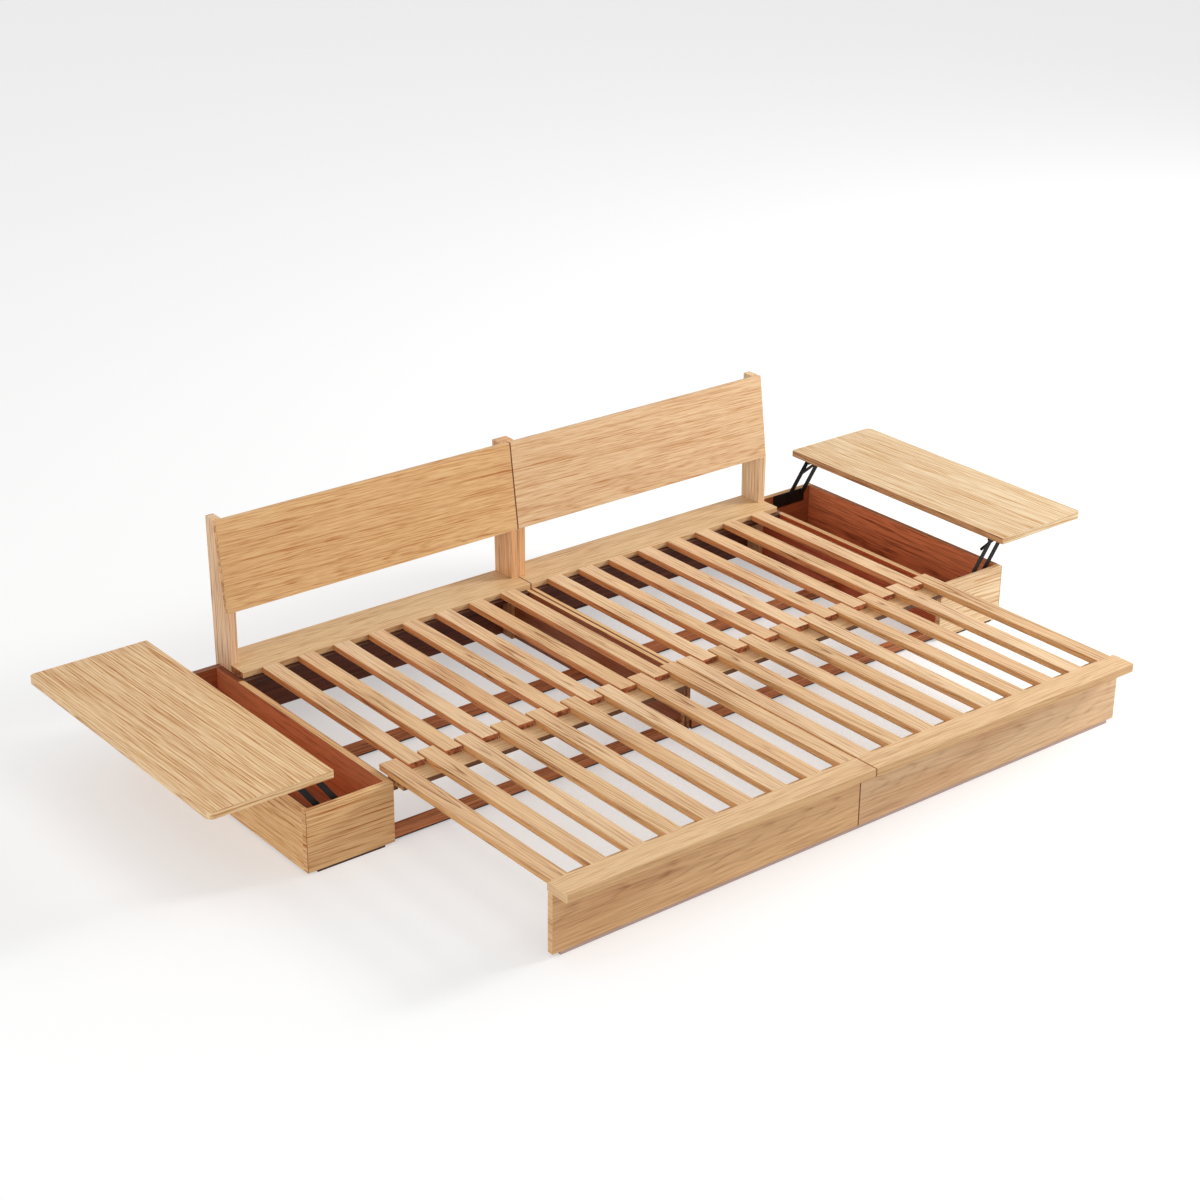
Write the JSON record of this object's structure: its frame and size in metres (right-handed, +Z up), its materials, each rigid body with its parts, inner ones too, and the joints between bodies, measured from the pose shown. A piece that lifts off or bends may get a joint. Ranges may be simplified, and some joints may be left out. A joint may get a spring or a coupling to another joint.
{
  "type": "sofa bed",
  "caption": "Low double slatted sofa bed in solid wood with pull-out front decks, leaning backrest panels and a storage box under a parallel-lift lid at each end.",
  "frame": {"origin": "on the floor under the middle of the whole, with the decks pulled out and the lids raised", "axes": "+X to the sofa's left-to-right as seen from the front, +Y to the backrest, +Z up"},
  "size_m": [3.088, 1.612, 0.616],
  "materials": {
    "light_wood": "satin",
    "golden_wood": "satin",
    "red_wood": "matte",
    "dark_strip": "matte",
    "black_steel": "satin"
  },
  "bodies": {
    "frame": {"left_backrest_panel": "light_wood", "left_outer_post": "light_wood", "left_inner_post": "light_wood", "left_rear_board": "light_wood", "left_centre_panel": "golden_wood", "left_back_panel": "red_wood", "left_front_stretcher": "red_wood", "left_middle_stretcher": "red_wood", "left_fixed_slats": "light_wood", "left_runner": "red_wood", "left_box_front": "light_wood", "left_box_back": "light_wood", "left_shared_wall": "light_wood", "left_box_outer_wall": "light_wood", "left_box_floor": "red_wood", "left_box_plinth": "dark_strip", "left_front_base_plate": "black_steel", "left_rear_base_plate": "black_steel", "right_backrest_panel": "light_wood", "right_outer_post": "light_wood", "right_inner_post": "light_wood", "right_rear_board": "light_wood", "right_centre_panel": "golden_wood", "right_back_panel": "red_wood", "right_front_stretcher": "red_wood", "right_middle_stretcher": "red_wood", "right_fixed_slats": "light_wood", "right_runner": "red_wood", "right_box_front": "light_wood", "right_box_back": "light_wood", "right_shared_wall": "light_wood", "right_box_outer_wall": "light_wood", "right_box_floor": "red_wood", "right_box_plinth": "dark_strip", "right_front_base_plate": "black_steel", "right_rear_base_plate": "black_steel"},
    "left_deck": {"left_sliding_slats": "light_wood", "left_front_rail": "light_wood", "left_apron": "golden_wood"},
    "left_inner_arms": {"left_front_inner_arm": "black_steel", "left_rear_inner_arm": "black_steel"},
    "left_outer_arms": {"left_front_outer_arm": "black_steel", "left_rear_outer_arm": "black_steel"},
    "left_lid_unit": {"left_lid": "light_wood", "left_front_lid_bracket": "black_steel", "left_rear_lid_bracket": "black_steel"},
    "left_stays": {"left_front_stay": "black_steel", "left_rear_stay": "black_steel"},
    "right_deck": {"right_sliding_slats": "light_wood", "right_front_rail": "light_wood", "right_apron": "golden_wood"},
    "right_inner_arms": {"right_front_inner_arm": "black_steel", "right_rear_inner_arm": "black_steel"},
    "right_outer_arms": {"right_front_outer_arm": "black_steel", "right_rear_outer_arm": "black_steel"},
    "right_lid_unit": {"right_lid": "light_wood", "right_front_lid_bracket": "black_steel", "right_rear_lid_bracket": "black_steel"},
    "right_stays": {"right_front_stay": "black_steel", "right_rear_stay": "black_steel"}
  },
  "joints": [
    {"name": "left_deck_slide", "type": "slide", "parent": "frame", "child": "left_deck", "axis": [0, 1, 0], "range_m": [0, 0.647]},
    {"name": "left_lift", "type": "hinge", "parent": "frame", "child": "left_inner_arms", "pos_m": [-1.147, 0.35, 0.171], "axis": [0, 1, 0], "range_deg": [0, 127.8]},
    {"name": "left_outer_lift", "type": "hinge", "parent": "frame", "child": "left_outer_arms", "pos_m": [-1.2, 0.35, 0.171], "axis": [0, 1, 0], "range_deg": [0, 127.8]},
    {"name": "left_lid_level", "type": "hinge", "parent": "left_inner_arms", "child": "left_lid_unit", "pos_m": [-1.21804, 0.35, 0.26771], "axis": [0, 1, 0], "range_deg": [-127.8, 0]},
    {"name": "left_stay_fold", "type": "hinge", "parent": "left_outer_arms", "child": "left_stays", "pos_m": [-1.27104, 0.35, 0.26771], "axis": [0, 1, 0], "range_deg": [0, 34.85]},
    {"name": "right_deck_slide", "type": "slide", "parent": "frame", "child": "right_deck", "axis": [0, 1, 0], "range_m": [0, 0.647]},
    {"name": "right_lift", "type": "hinge", "parent": "frame", "child": "right_inner_arms", "pos_m": [1.147, 0.35, 0.171], "axis": [0, -1, 0], "range_deg": [0, 127.8]},
    {"name": "right_outer_lift", "type": "hinge", "parent": "frame", "child": "right_outer_arms", "pos_m": [1.2, 0.35, 0.171], "axis": [0, -1, 0], "range_deg": [0, 127.8]},
    {"name": "right_lid_level", "type": "hinge", "parent": "right_inner_arms", "child": "right_lid_unit", "pos_m": [1.21804, 0.35, 0.26771], "axis": [0, -1, 0], "range_deg": [-127.8, 0]},
    {"name": "right_stay_fold", "type": "hinge", "parent": "right_outer_arms", "child": "right_stays", "pos_m": [1.27104, 0.35, 0.26771], "axis": [0, -1, 0], "range_deg": [0, 34.85]}
  ],
  "couplings": [
    {"joint": "left_outer_lift", "follows": "left_lift", "ratio": 1},
    {"joint": "left_lid_level", "follows": "left_lift", "ratio": -1},
    {"joint": "left_stay_fold", "follows": "left_lift", "ratio": 0.2726},
    {"joint": "right_outer_lift", "follows": "right_lift", "ratio": 1},
    {"joint": "right_lid_level", "follows": "right_lift", "ratio": -1},
    {"joint": "right_stay_fold", "follows": "right_lift", "ratio": 0.2726}
  ]
}
